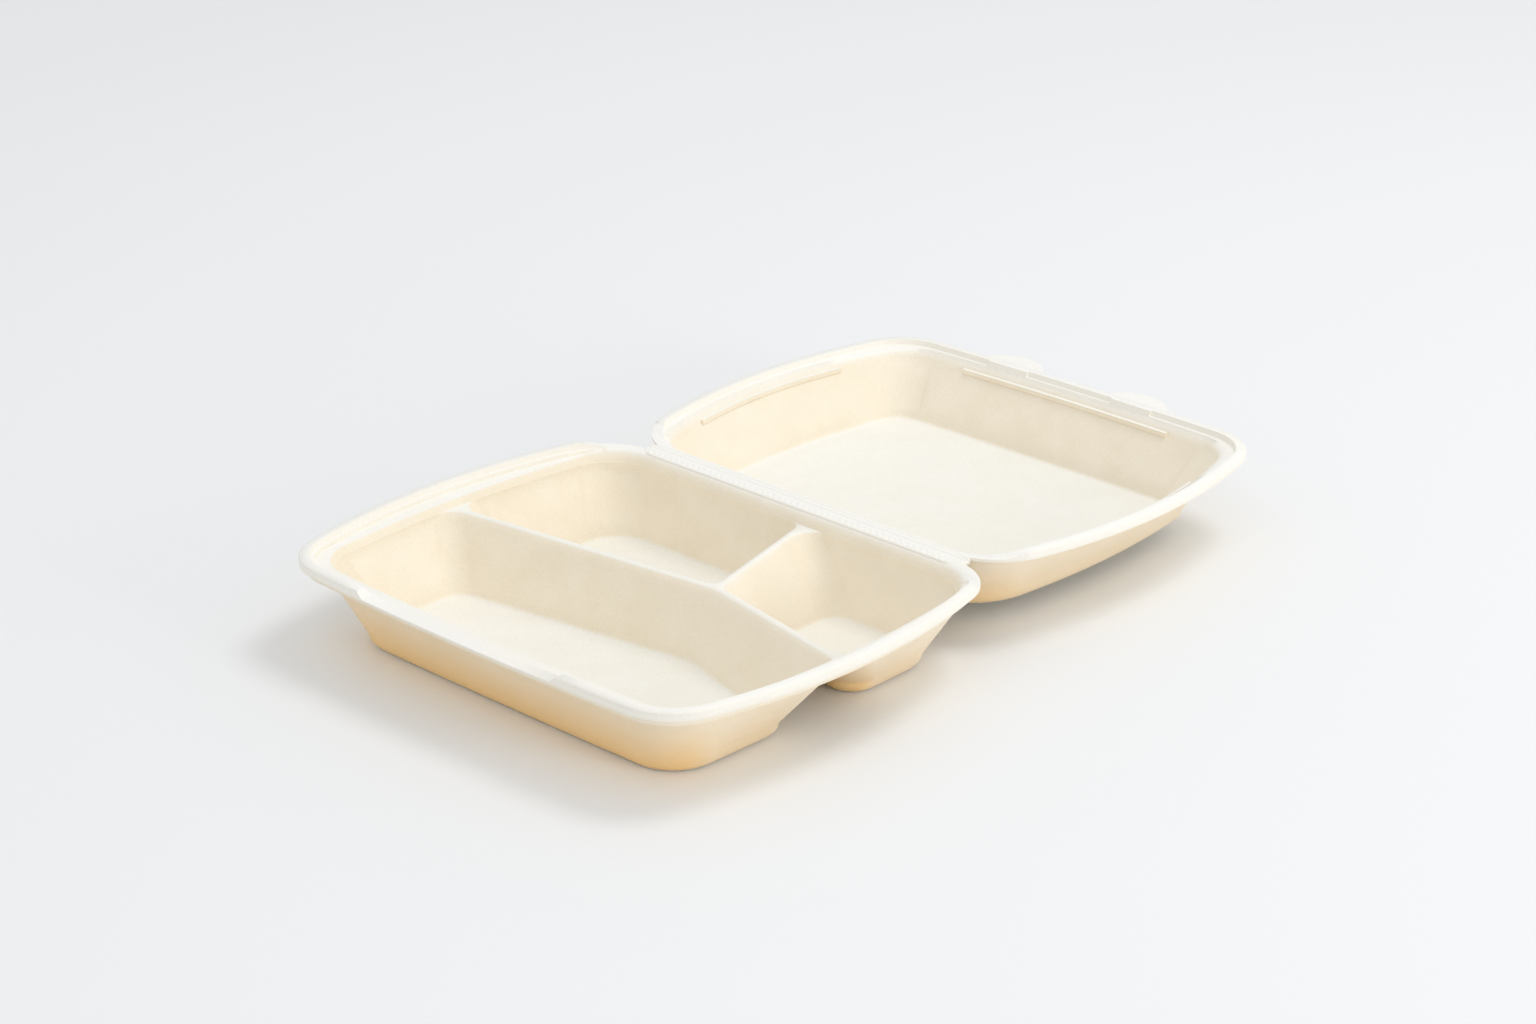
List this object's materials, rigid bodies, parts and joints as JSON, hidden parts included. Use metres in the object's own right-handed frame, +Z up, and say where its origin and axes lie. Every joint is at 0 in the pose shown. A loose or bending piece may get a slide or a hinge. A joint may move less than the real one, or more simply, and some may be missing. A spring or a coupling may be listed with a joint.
{
  "type": "foam clamshell container",
  "caption": "Open foam takeaway box: a divided tray with flanged rim and a shallow lid joined along one side by a living hinge, with tuck-in closing tabs on the lid.",
  "frame": {"origin": "centre of the bounding box at the level of the surface the tray stands on, lid open flat", "axes": "+X along the hinge, +Y from the tray towards the open lid, +Z up out of the compartments"},
  "size_m": [0.24, 0.377, 0.038],
  "materials": {
    "foam": "fine-celled cream polystyrene foam sheet with a soft skin sheen"
  },
  "bodies": {
    "tray_body": {"tray": "foam", "hinge_strip": "foam"},
    "lid_body": {"lid": "foam"}
  },
  "joints": [
    {"name": "lid_hinge", "type": "hinge", "parent": "tray_body", "child": "lid_body", "pos_m": [0, -0.0023, 0.03615], "axis": [1, 0, 0], "range_deg": [0, 180]}
  ]
}
